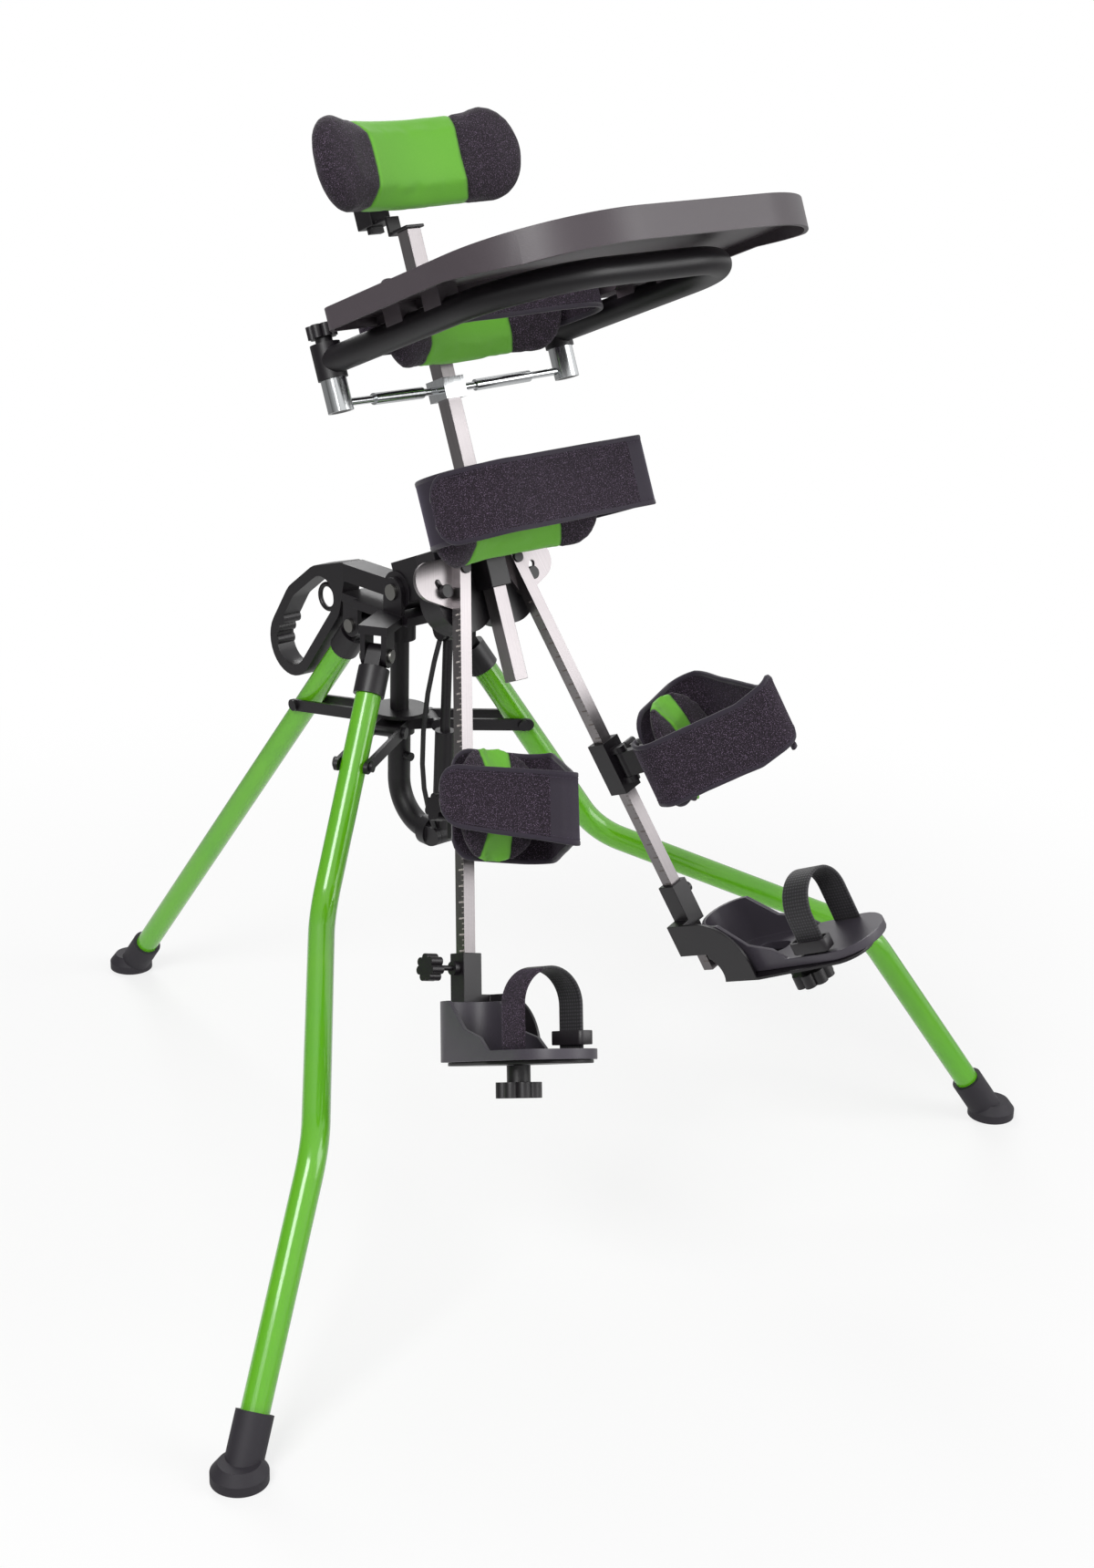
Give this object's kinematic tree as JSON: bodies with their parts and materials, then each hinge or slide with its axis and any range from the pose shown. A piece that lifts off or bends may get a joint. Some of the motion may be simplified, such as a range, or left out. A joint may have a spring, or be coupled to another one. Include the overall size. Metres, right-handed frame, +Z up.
{
  "type": "standing frame",
  "caption": "Folding tripod standing frame with a tilting mast, gas spring, head, chest and hip supports, tray, knee cuffs and sandals on spreading leg bars.",
  "frame": {"origin": "on the floor under the axis of the centre post", "axes": "+Z up, -Y the way the user faces, +X to the user's left"},
  "size_m": [1.0582, 1.0117, 1.0549],
  "materials": {
    "leg_paint": "gloss powder coat, leaf green",
    "black_paint": "satin black powder coat",
    "black_plastic": "moulded black plastic, fine grain",
    "foot_rubber": "matt black rubber",
    "bar_aluminium": "satin anodised",
    "chrome": "polished chrome",
    "steel": "zinc plated",
    "cable_jacket": "smooth black jacket",
    "pad_cover": "knitted cover, green band and black sides",
    "strap_web": "loop fabric, black"
  },
  "bodies": {
    "base": {"hub_bracket": "black_paint", "hub_pins": "steel", "centre_post": "black_paint", "j_tube": "black_paint", "spring_clamp": "black_paint", "release_cable": "cable_jacket"},
    "collar": {"collar": "black_paint"},
    "rear_leg": {"rear_leg_tube": "leg_paint", "rear_leg_socket": "black_paint", "rear_leg_foot": "foot_rubber"},
    "rear_strut": {"rear_strut_bars": "black_paint"},
    "right_leg": {"right_leg_tube": "leg_paint", "right_leg_socket": "black_paint", "right_leg_foot": "foot_rubber"},
    "right_strut": {"right_strut_bars": "black_paint"},
    "left_leg": {"left_leg_tube": "leg_paint", "left_leg_socket": "black_paint", "left_leg_foot": "foot_rubber"},
    "left_strut": {"left_strut_bars": "black_paint"},
    "head": {"tilt_head": "black_paint", "handle": "black_plastic", "hip_housing": "black_plastic", "mast_guide": "black_paint"},
    "gas_cylinder": {"gas_cylinder": "black_paint"},
    "gas_rod": {"gas_rod": "steel"},
    "pull_ring": {"pull_ring": "black_plastic"},
    "hip_support": {"hip_bracket": "black_paint", "hip_pad": "pad_cover", "hip_strap": "strap_web"},
    "mast": {"mast_tube": "bar_aluminium", "head_mount": "black_paint"},
    "chest_support": {"chest_bracket": "black_paint", "chest_pad": "pad_cover", "chest_strap": "strap_web"},
    "tray_arm": {"tray_arm": "chrome"},
    "tray": {"tray_tube": "black_paint", "tray": "black_plastic"},
    "right_tray_knob": {"right_tray_knob": "black_plastic"},
    "left_tray_knob": {"left_tray_knob": "black_plastic"},
    "head_stem": {"head_stem": "black_paint"},
    "headrest": {"head_plate": "black_paint", "head_pad": "pad_cover"},
    "right_leg_bar": {"right_leg_bar": "bar_aluminium"},
    "right_knee_clamp": {"right_knee_clamp": "black_paint"},
    "right_knee": {"right_knee_link": "black_paint", "right_knee_cuff": "strap_web"},
    "right_foot": {"right_foot_bracket": "black_paint"},
    "right_foot_knob": {"right_foot_knob": "black_plastic"},
    "right_sandal": {"right_sandal": "black_plastic", "right_foot_strap": "strap_web"},
    "right_sole_knob": {"right_sole_knob": "black_plastic"},
    "left_leg_bar": {"left_leg_bar": "bar_aluminium"},
    "left_knee_clamp": {"left_knee_clamp": "black_paint"},
    "left_knee": {"left_knee_link": "black_paint", "left_knee_cuff": "strap_web"},
    "left_foot": {"left_foot_bracket": "black_paint"},
    "left_foot_knob": {"left_foot_knob": "black_plastic"},
    "left_sandal": {"left_sandal": "black_plastic", "left_foot_strap": "strap_web"},
    "left_sole_knob": {"left_sole_knob": "black_plastic"}
  },
  "joints": [
    {"name": "collar_slide", "type": "slide", "parent": "base", "child": "collar", "axis": [0, 0, 1], "range_m": [0, 0.062]},
    {"name": "rear_leg_fold", "type": "hinge", "parent": "base", "child": "rear_leg", "pos_m": [0, 0.063, 0.54], "axis": [-1, 0, 0], "range_deg": [0, 37.29]},
    {"name": "rear_strut_turn", "type": "hinge", "parent": "collar", "child": "rear_strut", "pos_m": [0, 0.035, 0.452], "axis": [-1, 0, 0], "range_deg": [0, 63.93]},
    {"name": "right_leg_fold", "type": "hinge", "parent": "base", "child": "right_leg", "pos_m": [-0.05456, -0.0315, 0.54], "axis": [0.5, -0.866, 0], "range_deg": [0, 34.05]},
    {"name": "right_strut_turn", "type": "hinge", "parent": "collar", "child": "right_strut", "pos_m": [-0.03031, -0.0175, 0.452], "axis": [0.5, -0.866, 0], "range_deg": [0, 69.07]},
    {"name": "left_leg_fold", "type": "hinge", "parent": "base", "child": "left_leg", "pos_m": [0.05456, -0.0315, 0.54], "axis": [0.5, 0.866, 0], "range_deg": [0, 34.05]},
    {"name": "left_strut_turn", "type": "hinge", "parent": "collar", "child": "left_strut", "pos_m": [0.03031, -0.0175, 0.452], "axis": [0.5, 0.866, 0], "range_deg": [0, 69.07]},
    {"name": "mast_tilt", "type": "hinge", "parent": "base", "child": "head", "pos_m": [0, -0.014, 0.594], "axis": [1, 0, 0], "range_deg": [0, 28], "deforming": ["release_cable"]},
    {"name": "spring_turn", "type": "hinge", "parent": "base", "child": "gas_cylinder", "pos_m": [0, -0.068, 0.349], "axis": [-1, 0, 0], "range_deg": [0, 5.42]},
    {"name": "spring_stroke", "type": "slide", "parent": "gas_cylinder", "child": "gas_rod", "axis": [0, 0.0282, -0.9996], "range_m": [0, 0.02562]},
    {"name": "ring_pull", "type": "slide", "parent": "head", "child": "pull_ring", "axis": [0, 0.6426, -0.7662], "range_m": [0, 0.008], "stiffness_N_per_m": 600},
    {"name": "hip_slide", "type": "slide", "parent": "head", "child": "hip_support", "axis": [0, 0.3795, 0.9252], "range_m": [-0.015, 0.015]},
    {"name": "mast_slide", "type": "slide", "parent": "head", "child": "mast", "axis": [0, 0.3795, 0.9252], "range_m": [-0.03, 0.03]},
    {"name": "chest_slide", "type": "slide", "parent": "mast", "child": "chest_support", "axis": [0, 0.3795, 0.9252], "range_m": [-0.005, 0.03]},
    {"name": "tray_arm_slide", "type": "slide", "parent": "mast", "child": "tray_arm", "axis": [0, 0.3795, 0.9252], "range_m": [-0.01, 0.015]},
    {"name": "tray_lift", "type": "slide", "parent": "tray_arm", "child": "tray", "axis": [0, 0.3795, 0.9252], "range_m": [0, 0.018]},
    {"name": "right_tray_knob_turn", "type": "hinge", "parent": "tray", "child": "right_tray_knob", "pos_m": [-0.14, -0.05941, 0.86013], "axis": [0, 0.3795, 0.9252], "range_deg": [-90, 90]},
    {"name": "left_tray_knob_turn", "type": "hinge", "parent": "tray", "child": "left_tray_knob", "pos_m": [0.14, -0.05941, 0.86013], "axis": [0, 0.3795, 0.9252], "range_deg": [-90, 90]},
    {"name": "stem_slide", "type": "slide", "parent": "mast", "child": "head_stem", "axis": [0, 0.3795, 0.9252], "range_m": [0, 0.024]},
    {"name": "headrest_pitch", "type": "hinge", "parent": "head_stem", "child": "headrest", "pos_m": [0, 0.03482, 0.99766], "axis": [1, 0, 0], "range_deg": [-8, 8]},
    {"name": "right_abduction", "type": "hinge", "parent": "head", "child": "right_leg_bar", "pos_m": [-0.033, -0.13004, 0.64483], "axis": [0, 0.9252, -0.3795], "range_deg": [-7, 4]},
    {"name": "right_knee_slide", "type": "slide", "parent": "right_leg_bar", "child": "right_knee_clamp", "axis": [-0.2823, -0.364, -0.8876], "range_m": [-0.03, 0.02]},
    {"name": "right_knee_swivel", "type": "hinge", "parent": "right_knee_clamp", "child": "right_knee", "pos_m": [-0.09737, -0.22955, 0.44924], "axis": [-0.2823, -0.364, -0.8876], "range_deg": [-5, 10]},
    {"name": "right_foot_slide", "type": "slide", "parent": "right_leg_bar", "child": "right_foot", "axis": [-0.2823, -0.364, -0.8876], "range_m": [-0.03, 0.03]},
    {"name": "right_foot_knob_turn", "type": "hinge", "parent": "right_foot", "child": "right_foot_knob", "pos_m": [-0.14909, -0.2658, 0.31381], "axis": [0.9593, -0.1071, -0.2612], "range_deg": [-90, 90]},
    {"name": "right_sandal_turn", "type": "hinge", "parent": "right_foot", "child": "right_sandal", "pos_m": [-0.18675, -0.39315, 0.28], "axis": [-0.2823, -0.364, -0.8876], "range_deg": [-8, 4]},
    {"name": "right_sole_knob_turn", "type": "hinge", "parent": "right_foot", "child": "right_sole_knob", "pos_m": [-0.19239, -0.40044, 0.26225], "axis": [-0.2823, -0.364, -0.8876], "range_deg": [-90, 90]},
    {"name": "left_abduction", "type": "hinge", "parent": "head", "child": "left_leg_bar", "pos_m": [0.033, -0.13004, 0.64483], "axis": [0, -0.9252, 0.3795], "range_deg": [-7, 4]},
    {"name": "left_knee_slide", "type": "slide", "parent": "left_leg_bar", "child": "left_knee_clamp", "axis": [0.2823, -0.364, -0.8876], "range_m": [-0.03, 0.02]},
    {"name": "left_knee_swivel", "type": "hinge", "parent": "left_knee_clamp", "child": "left_knee", "pos_m": [0.09737, -0.22955, 0.44924], "axis": [-0.2823, 0.364, 0.8876], "range_deg": [-15, 10]},
    {"name": "left_foot_slide", "type": "slide", "parent": "left_leg_bar", "child": "left_foot", "axis": [0.2823, -0.364, -0.8876], "range_m": [-0.03, 0.03]},
    {"name": "left_foot_knob_turn", "type": "hinge", "parent": "left_foot", "child": "left_foot_knob", "pos_m": [0.14909, -0.2658, 0.31381], "axis": [0.9593, 0.1071, 0.2612], "range_deg": [-90, 90]},
    {"name": "left_sandal_turn", "type": "hinge", "parent": "left_foot", "child": "left_sandal", "pos_m": [0.18675, -0.39315, 0.28], "axis": [-0.2823, 0.364, 0.8876], "range_deg": [-8, 4]},
    {"name": "left_sole_knob_turn", "type": "hinge", "parent": "left_foot", "child": "left_sole_knob", "pos_m": [0.19239, -0.40044, 0.26225], "axis": [-0.2823, 0.364, 0.8876], "range_deg": [-90, 90]}
  ],
  "couplings": [
    {"joint": "rear_leg_fold", "follows": "collar_slide", "rad_per_m": 10.469},
    {"joint": "rear_strut_turn", "follows": "collar_slide", "rad_per_m": 17.969},
    {"joint": "right_leg_fold", "follows": "collar_slide", "rad_per_m": 9.5576},
    {"joint": "right_strut_turn", "follows": "collar_slide", "rad_per_m": 19.417},
    {"joint": "left_leg_fold", "follows": "collar_slide", "rad_per_m": 9.5576},
    {"joint": "left_strut_turn", "follows": "collar_slide", "rad_per_m": 19.417},
    {"joint": "spring_turn", "follows": "mast_tilt", "ratio": 0.19162},
    {"joint": "spring_stroke", "follows": "mast_tilt", "m_per_rad": 0.052218}
  ]
}
